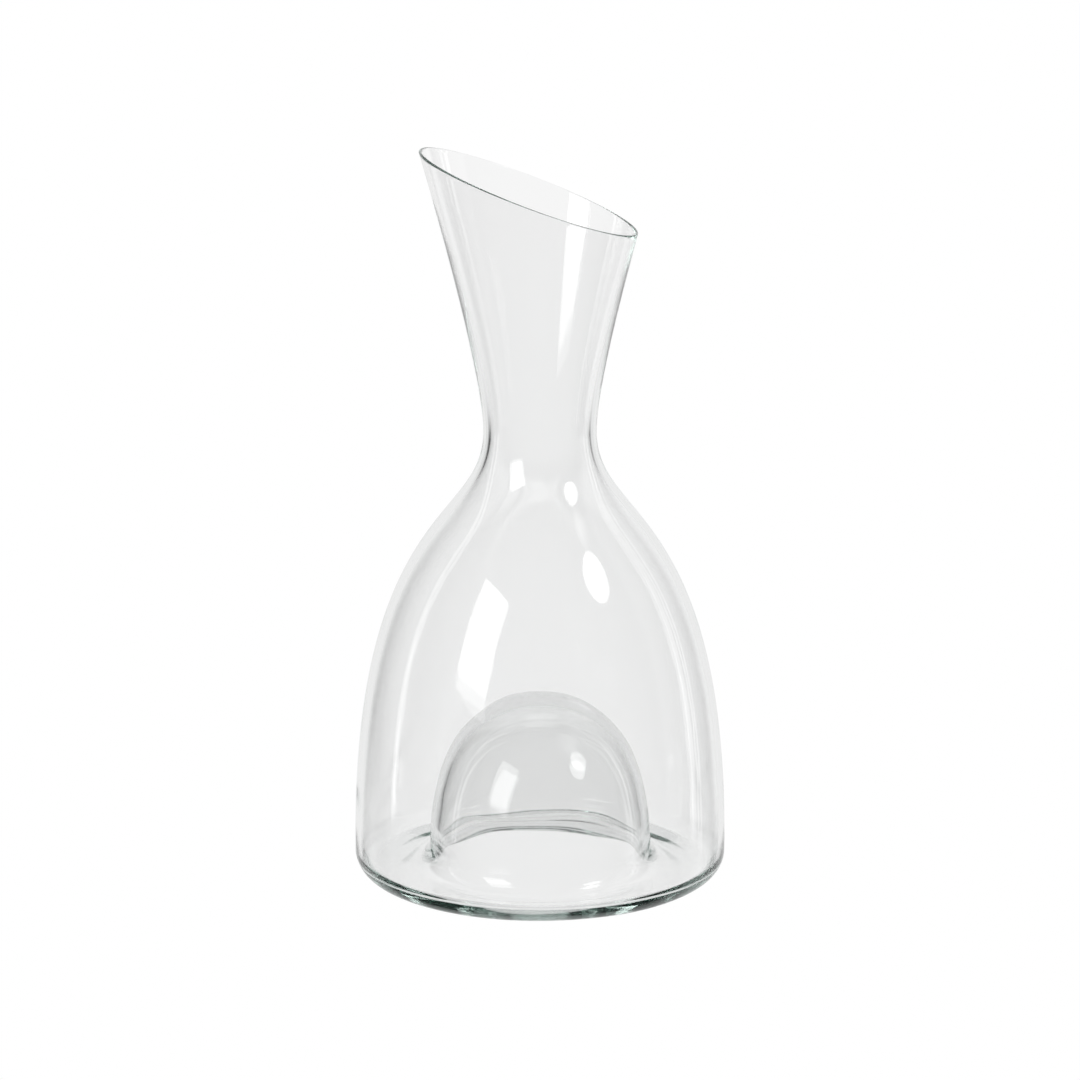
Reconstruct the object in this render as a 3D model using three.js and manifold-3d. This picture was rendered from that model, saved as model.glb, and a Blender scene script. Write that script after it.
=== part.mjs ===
// Wine decanter in clear glass: a bell-shaped bowl on a thick heel, a hollow domed punt rising from
// the floor, and a flared neck whose mouth is cut on a slant to make a high pouring lip.
// Millimetres, +Z up. The origin is the centre of the flat ring that the decanter stands on, and the
// pouring lip points towards -X.
// Five sections of glass meet face to face on level seams: at the throat, under the shoulder, above the
// heel and at the foot of the punt. Each is a closed solid of revolution about the Z axis, and the slant
// cuts the neck.

import * as THREE from "three";
import { mergeVertices } from "three/addons/utils/BufferGeometryUtils.js";
import Module from "manifold-3d";

// Fineness of the solids.
const SEGMENTS = 60;
const NECK_STEPS = 10;
const BOWL_STEPS = 6;
const SHOULDER_STEPS = 8;
const DOME_STEPS = 9;
const HEEL_STEPS = 5;
const FILLET_STEPS = 4;
const FOOT_STEPS = 5;

// Outer shape. A pull is how far a curve runs on in its end's direction before it turns.
const OUTER_RADIUS = 75;
const HEEL_RADIUS = 9;
const THROAT_RADIUS = 22.5;
const THROAT_HEIGHT = 182;
const BOWL_PULL = 142;
const SHOULDER_PULL = 38.5;
const NECK_PULL = 26.5;
const BLANK_RADIUS = 49.3;
const BLANK_HEIGHT = 300;

// Slanted mouth: where its plane crosses the axis, and its slope in degrees, rising towards -X.
const MOUTH_HEIGHT = 276;
const MOUTH_TILT = 20.6;

// Glass thickness. The floor dips a little from its edge at the heel to the foot of the punt.
const LIP_WALL = 1.2;
const THROAT_WALL = 2.4;
const BOWL_WALL = 2.6;
const FLOOR_EDGE_THICKNESS = 6;
const FLOOR_FILLET = 4;
const FLOOR_FOOT_THICKNESS = 4;

// Punt: the dome seen inside the bowl, its hollow underside, and its foot on the floor. Under the foot the
// hollow opens out to the flat ring: FOOT_DROP and FOOT_REACH are where that curve turns.
const DOME_RADIUS = 44.7;
const DOME_HEIGHT = 72.3;
const DOME_SIDE_PULL = 19;
const DOME_CROWN_PULL = 39.7;
const PUNT_WALL = 3.6;
const CROWN_THICKNESS = 5;
const FOOT_FILLET = 7;
const FOOT_DROP = 5;
const FOOT_REACH = 45;
const RING_RADIUS = 52;

// Level seams between the sections. The shoulder's is a fraction of the way up the bell's curve.
const BOWL_SEAM = FLOOR_EDGE_THICKNESS + FLOOR_FILLET;
const PUNT_SEAM = FLOOR_FOOT_THICKNESS + FOOT_FILLET;
const SHOULDER_SEAM = 0.27;
const HOLLOW_RADIUS = DOME_RADIUS - PUNT_WALL;
const HOLLOW_HEIGHT = DOME_HEIGHT - CROWN_THICKNESS;

const CUTTER_SIZE = 200;

const wasm = await Module();
wasm.setup();

function point(radius, height) {
  return new THREE.Vector2(radius, height);
}

// Points along an arc, both ends included. Angles are in degrees, and 0 points away from the axis.
function arc(centre, radius, fromAngle, toAngle, steps) {
  const points = [];
  for (let step = 0; step <= steps; step += 1) {
    const angle = THREE.MathUtils.degToRad(fromAngle + ((toAngle - fromAngle) * step) / steps);
    const spoke = point(radius * Math.cos(angle), radius * Math.sin(angle));
    points.push(spoke.add(centre));
  }
  return points;
}

// The closed outline of a wall that follows part of a curve: its outer face upwards, then its inner face
// downwards. The inner face lies a wall's thickness inside the outer one, and level with it at both ends.
function wallOutline(curve, from, to, steps, wallAt) {
  const outer = [];
  const inner = [];
  for (let step = 0; step <= steps; step += 1) {
    const along = THREE.MathUtils.lerp(from, to, step / steps);
    const onOuter = curve.getPoint(along);
    const tangent = curve.getTangent(along);
    const wall = wallAt(along);
    const atEnd = step === 0 || step === steps;
    outer.push(onOuter);
    inner.push(
      atEnd
        ? point(onOuter.x - wall / tangent.y, onOuter.y)
        : point(onOuter.x - tangent.y * wall, onOuter.y + tangent.x * wall),
    );
  }
  return [...outer, ...inner.reverse(), outer[0].clone()];
}

// An outline turned about the Z axis, as a solid. The outline runs anticlockwise, radius to the right.
function turned(outline) {
  const geometry = new THREE.LatheGeometry(outline, SEGMENTS);
  geometry.rotateX(Math.PI / 2);
  return toSolid(geometry);
}

function toSolid(geometry) {
  geometry.deleteAttribute("normal");
  geometry.deleteAttribute("uv");
  const merged = mergeVertices(geometry);
  const vertProperties = merged.attributes.position.array;
  const triVerts = new Uint32Array(merged.index.array);
  return new wasm.Manifold(new wasm.Mesh({ numProp: 3, vertProperties, triVerts }));
}

function toGeometry(solid) {
  const mesh = solid.getMesh();
  const geometry = new THREE.BufferGeometry();
  geometry.setAttribute("position", new THREE.BufferAttribute(mesh.vertProperties, 3));
  geometry.setIndex(new THREE.BufferAttribute(mesh.triVerts, 1));
  geometry.computeVertexNormals();
  return geometry;
}

// Everything above the slanted plane of the mouth.
function mouthCutter() {
  const block = new THREE.BoxGeometry(CUTTER_SIZE, CUTTER_SIZE, CUTTER_SIZE);
  block.translate(0, 0, CUTTER_SIZE / 2);
  block.rotateY(THREE.MathUtils.degToRad(MOUTH_TILT));
  block.translate(0, 0, MOUTH_HEIGHT);
  return toSolid(block);
}

function neckSolid() {
  const throat = point(THROAT_RADIUS, THROAT_HEIGHT);
  const pull = point(THROAT_RADIUS, THROAT_HEIGHT + NECK_PULL);
  const blankEnd = point(BLANK_RADIUS, BLANK_HEIGHT);
  const flare = new THREE.CubicBezierCurve(throat, pull, blankEnd, blankEnd);
  const wallAt = (along) => THREE.MathUtils.lerp(THROAT_WALL, LIP_WALL, along);
  return turned(wallOutline(flare, 0, 1, NECK_STEPS, wallAt)).subtract(mouthCutter());
}

// One stretch of the bell that runs from the heel's seam up to the throat.
function bellSolid(from, to, steps) {
  const bell = new THREE.CubicBezierCurve(
    point(OUTER_RADIUS, BOWL_SEAM),
    point(OUTER_RADIUS, BOWL_SEAM + BOWL_PULL),
    point(THROAT_RADIUS, THROAT_HEIGHT - SHOULDER_PULL),
    point(THROAT_RADIUS, THROAT_HEIGHT),
  );
  const wallAt = (along) => THREE.MathUtils.lerp(BOWL_WALL, THROAT_WALL, along);
  return turned(wallOutline(bell, from, to, steps, wallAt));
}

// The heel, the flat ring under it, the floor, and the first few millimetres of the bowl and punt.
function baseSolid() {
  const floorEdge = OUTER_RADIUS - BOWL_WALL - FLOOR_FILLET;
  const underFoot = new THREE.CubicBezierCurve(
    point(HOLLOW_RADIUS, PUNT_SEAM),
    point(HOLLOW_RADIUS, FOOT_DROP),
    point(FOOT_REACH, 0),
    point(RING_RADIUS, 0),
  );
  const heel = point(OUTER_RADIUS - HEEL_RADIUS, HEEL_RADIUS);
  const floorCorner = point(floorEdge, BOWL_SEAM);
  const puntCorner = point(DOME_RADIUS + FOOT_FILLET, PUNT_SEAM);
  return turned([
    ...underFoot.getPoints(FOOT_STEPS),
    ...arc(heel, HEEL_RADIUS, -90, 0, HEEL_STEPS),
    point(OUTER_RADIUS, BOWL_SEAM),
    ...arc(floorCorner, FLOOR_FILLET, 0, -90, FILLET_STEPS),
    ...arc(puntCorner, FOOT_FILLET, 270, 180, FILLET_STEPS),
    point(HOLLOW_RADIUS, PUNT_SEAM),
  ]);
}

// Half the outline of a dome, from its foot on the punt's seam to its crown on the axis.
function domeCurve(radius, height) {
  return new THREE.CubicBezierCurve(
    point(radius, PUNT_SEAM),
    point(radius, PUNT_SEAM + DOME_SIDE_PULL),
    point((DOME_CROWN_PULL * radius) / DOME_RADIUS, height),
    point(0, height),
  );
}

function puntSolid() {
  const hollow = domeCurve(HOLLOW_RADIUS, HOLLOW_HEIGHT).getPoints(DOME_STEPS);
  const dome = domeCurve(DOME_RADIUS, DOME_HEIGHT).getPoints(DOME_STEPS);
  return turned([...hollow.reverse(), ...dome]);
}

function piece(name, solid, color) {
  const material = new THREE.MeshStandardMaterial({ color, roughness: 0.04, metalness: 0 });
  material.transparent = true;
  material.opacity = 0.4;
  const mesh = new THREE.Mesh(toGeometry(solid), material);
  mesh.name = name;
  return mesh;
}

const group = new THREE.Group();
group.add(piece("neck", neckSolid(), 0xe9edeb));
group.add(piece("shoulder", bellSolid(SHOULDER_SEAM, 1, SHOULDER_STEPS), 0xe8eceb));
group.add(piece("bowl", bellSolid(0, SHOULDER_SEAM, BOWL_STEPS), 0xe7ebe9));
group.add(piece("base", baseSolid(), 0xc9d8cd));
group.add(piece("punt", puntSolid(), 0xdde4e0));

export default group;
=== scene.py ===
"""A clear glass wine decanter on a plain pale floor, in soft studio light.

The glass is one seamless mesh turned about the Z axis, with the slight unevenness of hand-formed glass:
walls that vary in thickness, a rippled bowl, punt and heel, and a fire-polished slanted mouth.
"""

import math

import bmesh
import bpy
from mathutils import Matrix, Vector, noise


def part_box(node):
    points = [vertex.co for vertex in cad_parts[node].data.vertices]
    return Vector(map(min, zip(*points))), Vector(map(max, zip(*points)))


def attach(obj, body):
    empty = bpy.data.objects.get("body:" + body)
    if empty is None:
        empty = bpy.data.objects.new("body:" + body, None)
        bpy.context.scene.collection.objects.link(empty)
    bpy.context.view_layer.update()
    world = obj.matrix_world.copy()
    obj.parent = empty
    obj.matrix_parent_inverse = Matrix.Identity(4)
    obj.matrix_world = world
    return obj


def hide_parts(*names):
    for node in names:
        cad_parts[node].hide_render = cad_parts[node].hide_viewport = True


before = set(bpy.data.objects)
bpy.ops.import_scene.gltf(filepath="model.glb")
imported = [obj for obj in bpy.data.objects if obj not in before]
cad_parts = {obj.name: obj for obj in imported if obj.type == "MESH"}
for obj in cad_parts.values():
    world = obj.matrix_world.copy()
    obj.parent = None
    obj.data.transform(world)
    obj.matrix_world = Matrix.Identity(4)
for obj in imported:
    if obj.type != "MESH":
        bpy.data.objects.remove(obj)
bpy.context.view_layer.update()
MM = 0.001

# Sizes that the CAD nodes give, in metres.
OUTER_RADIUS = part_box("base")[1].x
BOWL_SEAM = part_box("bowl")[0].z
PUNT_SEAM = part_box("punt")[0].z
DOME_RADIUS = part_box("punt")[1].x
DOME_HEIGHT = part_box("punt")[1].z
THROAT_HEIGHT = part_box("neck")[0].z

# The rest of the outline, in metres. A pull is how far a curve runs on before it turns.
THROAT_RADIUS = 22.5 * MM
BOWL_PULL = 142 * MM
SHOULDER_PULL = 38.5 * MM
NECK_PULL = 26.5 * MM
BLANK_RADIUS = 49.3 * MM
BLANK_HEIGHT = 300 * MM
HEEL_RADIUS = 9 * MM
FLOOR_FILLET = 4 * MM
FOOT_FILLET = 7 * MM
DOME_SIDE_PULL = 19 * MM
DOME_CROWN_PULL = 39.7 * MM
PUNT_WALL = 3.6 * MM
FOOT_DROP = 5 * MM
FOOT_REACH = 45 * MM
RING_RADIUS = 52 * MM
CROWN_THICKNESS = 5 * MM
BOWL_WALL = 2.6 * MM
THROAT_WALL = 3.0 * MM
LIP_WALL = 1.0 * MM

# The slanted plane of the mouth: where it crosses the axis, and its slope, rising towards -X.
MOUTH_HEIGHT = 276 * MM
MOUTH_TILT = math.radians(20.6)

# The glass: how much it bends light, the tint that its depth takes on and how strongly, its least and most
# roughness, and the depth of its finest ripples.
REFRACTIVE_INDEX = 1.52
TINT = (0.56, 0.68, 0.64, 1)
TINT_DENSITY = 6
ROUGHNESS_LEAST = 0.0
ROUGHNESS_MOST = 0.03
RIPPLE_DEPTH = 0.02 * MM

# Lumps to a metre: in the patches of polish, in the finest ripples, and in the waves of the mesh, which
# are long around the glass and short upwards.
PATCH_SCALE = 24
RIPPLE_SCALE = 90
WAVE_SCALE_AROUND = 28
WAVE_SCALE_UPWARDS = 95

# Fineness of the mesh, the halvings that find where the neck ends, and the bounces that light may take.
SEGMENTS = 208
HALVINGS = 40
BOUNCES = 200

# The floor lies just under the glass, clear of its waves. Its reach is half its width, in metres.
FLOOR_DROP = 0.5 * MM
FLOOR_REACH = 6

# The camera, in front of the decanter and looking down at it. The lens and sensor are in millimetres.
CAMERA_DISTANCE = 1.6
CAMERA_HEIGHT = 0.5304
CAMERA_PITCH = math.radians(13.81)
CAMERA_LENS = 137.4
CAMERA_SENSOR = 36

# The studio, as the glass reflects it. Bearings are in degrees, where 0 is behind the decanter, -90 on its
# left and 90 on its right. Rises are height angles. Each panel has its bearings, its rises, how far its
# sides and its ends blur, and its level. Between the panels the room is nearly dark.
PANELS = {
    "table": ((-58, 74), (-95, -15), 28, 15, 0.85),
    "sheet behind": ((-38, 42), (-25, 54), 12, 6, 0.85),
    "grey wall on the right": ((38, 94), (-13, 60), 3, 3, 0.33),
    "gap on the left": ((-78, -74.5), (-14, 62), 0.8, 4, 1.6),
    "narrow gap on the right": ((60, 61.6), (-18, 56), 0.6, 6, 1.6),
    "wide gap on the right": ((66.4, 71), (-16, 52), 0.8, 6, 1.4),
    "ceiling behind": ((-24, 24), (54, 70), 8, 6, 1.0),
    "ceiling on the right": ((90, 114), (52, 70), 6, 8, 1.5),
}
ROOM_LEVEL = 0.04


def cubic(start, start_pull, end_pull, end, along):
    """A point on a pulled curve in the radius-height plane."""
    back = 1 - along
    return (
        start * back**3
        + start_pull * (3 * along * back**2)
        + end_pull * (3 * along**2 * back)
        + end * along**3
    )


def curve_points(ends, steps, stop=1.0):
    """Points along a pulled curve from its start to the fraction stop, both ends included."""
    return [cubic(*ends, stop * step / steps) for step in range(steps + 1)]


def arc_points(centre, radius, from_angle, to_angle, steps):
    """Points along an arc, both ends included. Angles are in degrees, and 0 points away from the axis."""
    points = []
    for step in range(steps + 1):
        angle = math.radians(from_angle + (to_angle - from_angle) * step / steps)
        points.append(centre + radius * Vector((math.cos(angle), math.sin(angle))))
    return points


def level_points(start, end, steps):
    """Points between start and end, without the ends."""
    return [start.lerp(end, step / steps) for step in range(1, steps)]


def smooth(value, none, full):
    """0 at none, rising smoothly to 1 at full."""
    share = min(max((value - none) / (full - none), 0), 1)
    return share * share * (3 - 2 * share)


def wall_at(height):
    """Thickness of the wall at a height: thickest at the throat, and thinnest at the lip."""
    if height < THROAT_HEIGHT:
        return BOWL_WALL + (THROAT_WALL - BOWL_WALL) * smooth(height, BOWL_SEAM, THROAT_HEIGHT)
    return THROAT_WALL + (LIP_WALL - THROAT_WALL) * smooth(height, THROAT_HEIGHT, MOUTH_HEIGHT)


def inset(points):
    """The inner face of the wall whose outer face runs upwards through points."""
    inner = []
    last = len(points) - 1
    for index, here in enumerate(points):
        ahead = points[min(index + 1, last)]
        behind = points[max(index - 1, 0)]
        tangent = (ahead - behind).normalized()
        inner.append(here + wall_at(here.y) * Vector((-tangent.y, tangent.x)))
    return inner


def flare():
    """The outside of the neck, from the throat to the end of the blank that the slanted mouth cuts."""
    throat = Vector((THROAT_RADIUS, THROAT_HEIGHT))
    pull = Vector((THROAT_RADIUS, THROAT_HEIGHT + NECK_PULL))
    blank_end = Vector((BLANK_RADIUS, BLANK_HEIGHT))
    return throat, pull, blank_end, blank_end


def bell():
    """The outside of the bowl, from the heel's seam up to the throat."""
    return (
        Vector((OUTER_RADIUS, BOWL_SEAM)),
        Vector((OUTER_RADIUS, BOWL_SEAM + BOWL_PULL)),
        Vector((THROAT_RADIUS, THROAT_HEIGHT - SHOULDER_PULL)),
        Vector((THROAT_RADIUS, THROAT_HEIGHT)),
    )


def dome(radius, height):
    """Half the outline of a dome, from the punt's seam to its crown."""
    return (
        Vector((radius, PUNT_SEAM)),
        Vector((radius, PUNT_SEAM + DOME_SIDE_PULL)),
        Vector((DOME_CROWN_PULL * radius / DOME_RADIUS, height)),
        Vector((0, height)),
    )


def under_foot():
    """The bell-mouthed underside, from the hollow's seam out to the ring that stands on the table."""
    return (
        Vector((DOME_RADIUS - PUNT_WALL, PUNT_SEAM)),
        Vector((DOME_RADIUS - PUNT_WALL, FOOT_DROP)),
        Vector((FOOT_REACH, 0)),
        Vector((RING_RADIUS, 0)),
    )


def neck_end(cosine):
    """How far along the flare the neck ends, on the side whose direction has this cosine. The rounded lip
    reaches half the lip's wall further, up to the mouth's plane."""
    plane_height = MOUTH_HEIGHT - LIP_WALL / 2 / math.cos(MOUTH_TILT)
    low, high = 0.0, 1.0
    for _ in range(HALVINGS):
        middle = (low + high) / 2
        here = cubic(*flare(), middle)
        if here.y < plane_height - math.tan(MOUTH_TILT) * here.x * cosine:
            low = middle
        else:
            high = middle
    return low


def lip_points(outer_end, inner_end):
    """A half circle over the top of the wall, from its outer face to its inner face, without the ends."""
    centre = (outer_end + inner_end) / 2
    across = outer_end - centre
    over = Vector((-across.y, across.x))
    steps = 10
    turns = [math.pi * step / steps for step in range(1, steps)]
    return [centre + across * math.cos(turn) + over * math.sin(turn) for turn in turns]


def outline(cosine):
    """The outline of the glass on one side, as stretches that follow on from one another: from the crown
    of the hollow, under the foot, up the outside, over the lip and down the inside to the crown of the
    punt. Each stretch goes with the depth in millimetres of the waves in it at its start and at its end."""
    hollow_curve = dome(DOME_RADIUS - PUNT_WALL, DOME_HEIGHT - CROWN_THICKNESS)
    hollow = curve_points(hollow_curve, steps=40)[::-1]
    foot = curve_points(under_foot(), steps=20)
    heel_centre = Vector((OUTER_RADIUS - HEEL_RADIUS, HEEL_RADIUS))
    heel = arc_points(heel_centre, HEEL_RADIUS, -90, 0, steps=20)
    bowl_outer = curve_points(bell(), steps=84)
    bowl_inner = inset(bowl_outer)[::-1]
    # The point on the bowl's inner face, counted from the throat, from which the waves deepen.
    waves_deepen = 44
    neck_outer = curve_points(flare(), steps=56, stop=neck_end(cosine))
    neck_inner = inset(neck_outer)[::-1]
    floor_centre = Vector((OUTER_RADIUS - BOWL_WALL - FLOOR_FILLET, BOWL_SEAM))
    floor_corner = arc_points(floor_centre, FLOOR_FILLET, 0, -90, steps=14)
    foot_centre = Vector((DOME_RADIUS + FOOT_FILLET, PUNT_SEAM))
    punt_foot = arc_points(foot_centre, FOOT_FILLET, 270, 180, steps=12)
    dome_outer = curve_points(dome(DOME_RADIUS, DOME_HEIGHT), steps=48)
    return [
        (hollow, 0.01, 0.10),
        (foot[1:], 0.10, 0.10),
        (level_points(foot[-1], heel[0], steps=6), 0.10, 0.10),
        (heel, 0.10, 0.02),
        (bowl_outer[1:], 0.02, 0.01),
        (neck_outer[1:], 0.01, 0.01),
        (lip_points(neck_outer[-1], neck_inner[0]), 0.01, 0.01),
        (neck_inner, 0.01, 0.02),
        (bowl_inner[1:waves_deepen], 0.02, 0.04),
        (bowl_inner[waves_deepen:], 0.04, 0.14),
        (floor_corner[1:], 0.14, 0.08),
        (level_points(floor_corner[-1], punt_foot[0], steps=8), 0.08, 0.08),
        (punt_foot, 0.08, 0.10),
        (dome_outer[1:], 0.10, 0.01),
    ]


def wave(place, depth):
    """How far the surface at place is pushed out or in."""
    around = WAVE_SCALE_AROUND
    return depth * noise.noise(Vector((place.x * around, place.y * around, place.z * WAVE_SCALE_UPWARDS)))


def side_points(turn):
    """The outline on the side that faces turn, as points in space with the waves pressed into it."""
    flat = []
    depths = []
    for points, start_depth, end_depth in outline(math.cos(turn)):
        for index, here in enumerate(points):
            flat.append(here)
            depths.append((start_depth + (end_depth - start_depth) * index / len(points)) * MM)
    around = Vector((math.cos(turn), math.sin(turn), 0))
    placed = []
    for index in range(1, len(flat) - 1):
        here = flat[index]
        tangent = (flat[index + 1] - flat[index - 1]).normalized()
        outward = around * tangent.y + Vector((0, 0, -tangent.x))
        place = around * here.x + Vector((0, 0, here.y))
        placed.append(place + outward * wave(place, depths[index]))
    return placed


def glass_mesh():
    """The outline turned about the axis: one closed surface with a pole at each crown."""
    mesh = bpy.data.meshes.new("decanter_glass")
    work = bmesh.new()
    columns = []
    for segment in range(SEGMENTS):
        places = side_points(2 * math.pi * segment / SEGMENTS)
        columns.append([work.verts.new(place) for place in places])
    low_pole = work.verts.new((0, 0, DOME_HEIGHT - CROWN_THICKNESS))
    high_pole = work.verts.new((0, 0, DOME_HEIGHT))
    for segment in range(SEGMENTS):
        here = columns[segment]
        after = columns[(segment + 1) % SEGMENTS]
        work.faces.new((low_pole, after[0], here[0]))
        work.faces.new((high_pole, here[-1], after[-1]))
        for row in range(len(here) - 1):
            work.faces.new((here[row], after[row], after[row + 1], here[row + 1]))
    bmesh.ops.recalc_face_normals(work, faces=work.faces)
    work.to_mesh(mesh)
    work.free()
    for polygon in mesh.polygons:
        polygon.use_smooth = True
    return mesh


def noise_texture(tree, place, scale, detail):
    """Noise from 0 to 1. Scale is the number of its lumps to a metre, and detail adds finer ones."""
    node = tree.nodes.new("ShaderNodeTexNoise")
    tree.links.new(place, node.inputs["Vector"])
    node.inputs["Scale"].default_value = scale
    node.inputs["Detail"].default_value = detail
    return node.outputs[0]


def stretch(tree, noise_level, low, high):
    """Noise, which mostly lies between 0.3 and 0.7, stretched over low to high."""
    node = tree.nodes.new("ShaderNodeMapRange")
    tree.links.new(noise_level, node.inputs["Value"])
    node.inputs["From Min"].default_value = 0.3
    node.inputs["From Max"].default_value = 0.7
    node.inputs["To Min"].default_value = low
    node.inputs["To Max"].default_value = high
    return node.outputs["Result"]


def glass_material():
    """Clear glass that looks faintly green where it is thick. Its fire-polished skin is a little softer in
    broad patches, and very shallow ripples run over it."""
    material = bpy.data.materials.new("clear_glass")
    material.use_nodes = True
    tree = material.node_tree
    shader = tree.nodes["Principled BSDF"]
    shader.inputs["Base Color"].default_value = (1, 1, 1, 1)
    shader.inputs["Transmission Weight"].default_value = 1
    shader.inputs["IOR"].default_value = REFRACTIVE_INDEX
    place = tree.nodes.new("ShaderNodeTexCoord").outputs["Object"]
    patches = noise_texture(tree, place, PATCH_SCALE, detail=3)
    tree.links.new(stretch(tree, patches, ROUGHNESS_LEAST, ROUGHNESS_MOST), shader.inputs["Roughness"])
    ripples = tree.nodes.new("ShaderNodeBump")
    ripples.inputs["Strength"].default_value = 0.3
    ripples.inputs["Distance"].default_value = RIPPLE_DEPTH
    tree.links.new(noise_texture(tree, place, RIPPLE_SCALE, detail=1), ripples.inputs["Height"])
    tree.links.new(ripples.outputs["Normal"], shader.inputs["Normal"])
    absorption = tree.nodes.new("ShaderNodeVolumeAbsorption")
    absorption.inputs["Color"].default_value = TINT
    absorption.inputs["Density"].default_value = TINT_DENSITY
    tree.links.new(absorption.outputs["Volume"], tree.nodes["Material Output"].inputs["Volume"])
    return material


def make_glass():
    """The whole decanter as one piece, in place of the CAD's five sections."""
    piece = bpy.data.objects.new("decanter_glass", glass_mesh())
    bpy.context.scene.collection.objects.link(piece)
    piece.data.materials.append(glass_material())
    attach(piece, "root")
    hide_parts("neck", "shoulder", "bowl", "base", "punt")


def make_floor():
    """An evenly lit pale floor. Only the camera sees it: the glass takes its light from the studio."""
    mesh = bpy.data.meshes.new("floor")
    work = bmesh.new()
    bmesh.ops.create_grid(work, x_segments=1, y_segments=1, size=FLOOR_REACH)
    work.to_mesh(mesh)
    work.free()
    floor = bpy.data.objects.new("floor", mesh)
    bpy.context.scene.collection.objects.link(floor)
    floor.location.z = -FLOOR_DROP
    material = bpy.data.materials.new("floor")
    material.use_nodes = True
    tree = material.node_tree
    tree.nodes.clear()
    emission = tree.nodes.new("ShaderNodeEmission")
    output = tree.nodes.new("ShaderNodeOutputMaterial")
    tree.links.new(emission.outputs[0], output.inputs[0])
    floor.data.materials.append(material)
    floor.visible_glossy = False
    floor.visible_transmission = False
    floor.visible_diffuse = False
    floor.visible_shadow = False


def link_or_set(tree, socket, value):
    """Join value to the socket if it is another node's output, and set it there if it is a number."""
    if isinstance(value, bpy.types.NodeSocket):
        tree.links.new(value, socket)
    else:
        socket.default_value = value


def calculate(tree, operation, first, second=0.0):
    """The result of a math node."""
    node = tree.nodes.new("ShaderNodeMath")
    node.operation = operation
    link_or_set(tree, node.inputs[0], first)
    link_or_set(tree, node.inputs[1], second)
    return node.outputs[0]


def dot(tree, direction, vector):
    """How far direction runs along vector."""
    node = tree.nodes.new("ShaderNodeVectorMath")
    node.operation = "DOT_PRODUCT"
    tree.links.new(direction, node.inputs[0])
    node.inputs[1].default_value = vector
    return node.outputs["Value"]


def fade(tree, value, full, none):
    """1 where value is at full, falling smoothly to 0 at none."""
    node = tree.nodes.new("ShaderNodeMapRange")
    node.interpolation_type = "SMOOTHSTEP"
    tree.links.new(value, node.inputs["Value"])
    node.inputs["From Min"].default_value = none
    node.inputs["From Max"].default_value = full
    return node.outputs["Result"]


def facing(bearing, rise):
    """The unit vector towards a bearing and a height angle, in degrees."""
    around, above = math.radians(bearing), math.radians(rise)
    return Vector((math.sin(around) * math.cos(above), math.cos(around) * math.cos(above), math.sin(above)))


def light_face(tree, direction, centre, width, height, roll=0):
    """Where a direction meets the face of a light: how far across and how far up, with the light's edges at
    1 and -1, and how much the direction faces the light. Centre is the direction of the light's middle,
    width and height are its size over its distance, and roll is in degrees."""
    right = centre.cross(Vector((0, 0, 1))).normalized()
    up = right.cross(centre)
    cosine, sine = math.cos(math.radians(roll)), math.sin(math.radians(roll))
    ahead = dot(tree, direction, centre)
    across = dot(tree, direction, (right * cosine + up * sine) / (width / 2))
    upward = dot(tree, direction, (up * cosine - right * sine) / (height / 2))
    return calculate(tree, "DIVIDE", across, ahead), calculate(tree, "DIVIDE", upward, ahead), ahead


def in_front(tree, inside, ahead, level):
    """The level of a light where a direction is inside it, and nothing in the opposite direction."""
    faces_light = calculate(tree, "GREATER_THAN", ahead, 0.0)
    return calculate(tree, "MULTIPLY", calculate(tree, "MULTIPLY", inside, faces_light), level)


def softbox(tree, direction):
    """The tall soft light in front on the left. Its lowest part is dimmer."""
    centre = facing(bearing=-133, rise=24.5)
    across, upward, ahead = light_face(tree, direction, centre, width=0.42, height=0.61, roll=7)
    sides = fade(tree, calculate(tree, "ABSOLUTE", across), 0.96, 1.04)
    ends = fade(tree, calculate(tree, "ABSOLUTE", upward), 0.97, 1.03)
    above_low_part = fade(tree, upward, -0.7, -0.85)
    brightness = calculate(tree, "ADD", calculate(tree, "MULTIPLY", above_low_part, 0.6), 0.4)
    inside = calculate(tree, "MULTIPLY", calculate(tree, "MULTIPLY", sides, ends), brightness)
    return in_front(tree, inside, ahead, level=3.6)


def round_light(tree, direction):
    """The round soft light in front on the right."""
    centre = facing(bearing=118, rise=41.5)
    across, upward, ahead = light_face(tree, direction, centre, width=0.31, height=0.31)
    squares = calculate(tree, "MULTIPLY", across, across)
    squares = calculate(tree, "ADD", squares, calculate(tree, "MULTIPLY", upward, upward))
    return in_front(tree, fade(tree, squares, 0.9, 1.1), ahead, level=5.0)


def panel(tree, bearing, rise, sides, ends, side_blur, end_blur, level):
    """A panel of the studio, lit evenly apart from its blurred edges."""
    light = level
    for angle, (start, end), blur in ((bearing, sides, side_blur), (rise, ends, end_blur)):
        offset = calculate(tree, "ABSOLUTE", calculate(tree, "SUBTRACT", angle, (start + end) / 2))
        reach = (end - start) / 2
        light = calculate(tree, "MULTIPLY", fade(tree, offset, reach - blur / 2, reach + blur / 2), light)
    return light


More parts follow.
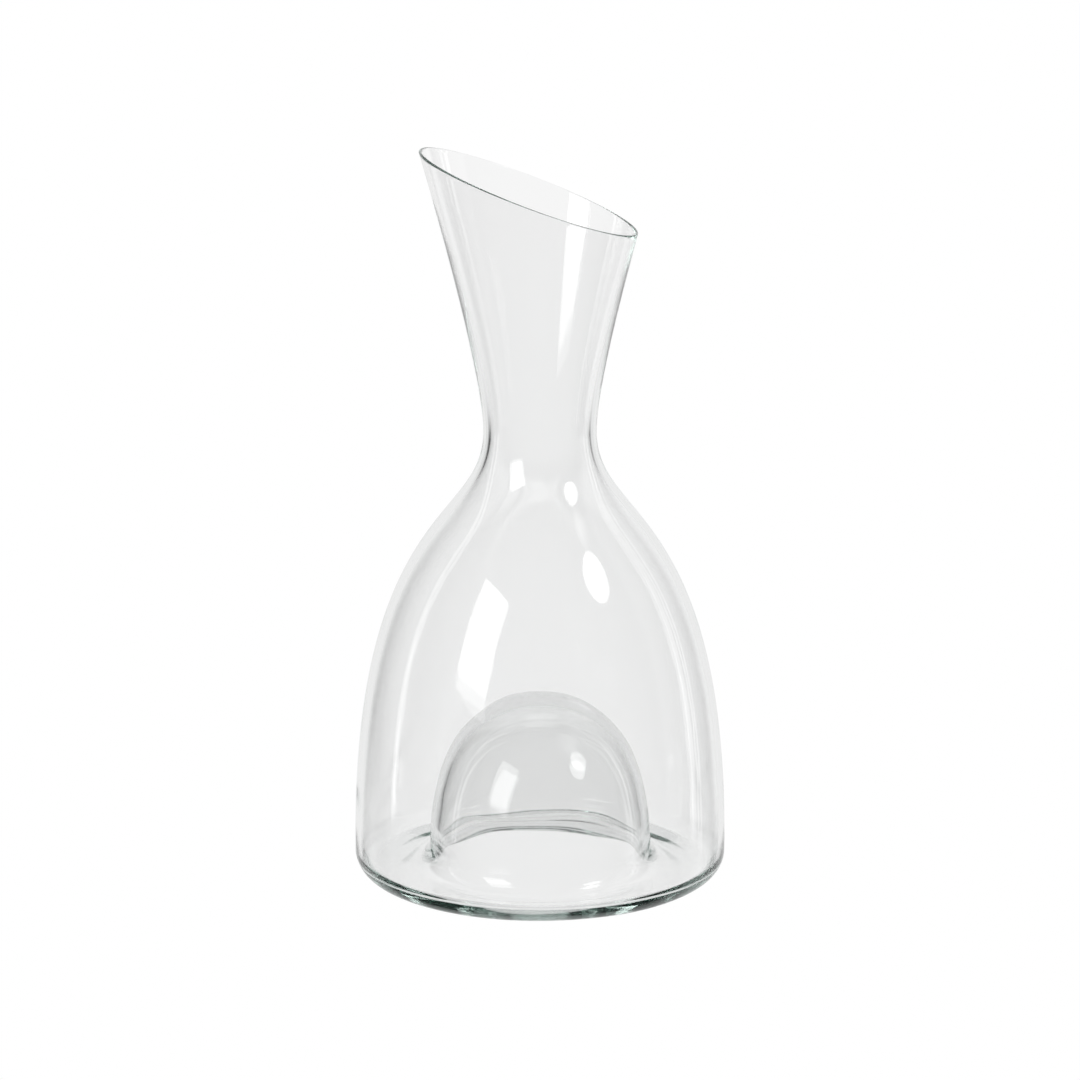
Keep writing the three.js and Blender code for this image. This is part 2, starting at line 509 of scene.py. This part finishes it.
def room_level(tree, direction):
    """The level of the studio in a direction, without its two soft lights."""
    parts = tree.nodes.new("ShaderNodeSeparateXYZ")
    tree.links.new(direction, parts.inputs[0])
    turn = calculate(tree, "ARCTAN2", parts.outputs["X"], parts.outputs["Y"])
    bearing = calculate(tree, "DEGREES", turn)
    rise = calculate(tree, "DEGREES", calculate(tree, "ARCSINE", parts.outputs["Z"]))
    level = ROOM_LEVEL
    for shape in PANELS.values():
        level = calculate(tree, "MAXIMUM", panel(tree, bearing, rise, *shape), level)
    return level


def make_world():
    """The studio around the glass. What comes straight through the glass is the white background, and what
    it reflects is the room and its two soft lights."""
    world = bpy.data.worlds.new("studio")
    bpy.context.scene.world = world
    world.use_nodes = True
    # Light reaches the camera by sharp reflections, so picking out the studio's bright spots is no help.
    world.cycles.sampling_method = "NONE"
    tree = world.node_tree
    tree.nodes.clear()
    output = tree.nodes.new("ShaderNodeOutputWorld")
    background = tree.nodes.new("ShaderNodeBackground")
    tree.links.new(background.outputs[0], output.inputs[0])
    background.inputs["Color"].default_value = (1, 1, 1, 1)
    direction = tree.nodes.new("ShaderNodeTexCoord").outputs["Generated"]
    lights = calculate(tree, "MAXIMUM", softbox(tree, direction), round_light(tree, direction))
    reflected = calculate(tree, "MAXIMUM", room_level(tree, direction), lights)
    path = tree.nodes.new("ShaderNodeLightPath")
    straight = calculate(tree, "LESS_THAN", path.outputs["Glossy Depth"], 0.5)
    tree.links.new(calculate(tree, "MAXIMUM", reflected, straight), background.inputs["Strength"])


def make_camera():
    """The camera, level with the decanter's axis from side to side and pitched down at it."""
    camera = bpy.data.cameras.new("camera")
    camera.lens = CAMERA_LENS
    camera.sensor_width = CAMERA_SENSOR
    mount = bpy.data.objects.new("camera", camera)
    bpy.context.scene.collection.objects.link(mount)
    mount.location = (0, -CAMERA_DISTANCE, CAMERA_HEIGHT)
    mount.rotation_euler = (math.radians(90) - CAMERA_PITCH, 0, 0)
    bpy.context.scene.camera = mount


def set_look():
    """Glass needs many bounces: light that runs along inside the walls still has to find its way out."""
    scene = bpy.context.scene
    scene.view_settings.view_transform = "Standard"
    scene.cycles.max_bounces = BOUNCES
    scene.cycles.transmission_bounces = BOUNCES
    scene.cycles.glossy_bounces = BOUNCES


make_camera()
make_glass()
make_floor()
make_world()
set_look()
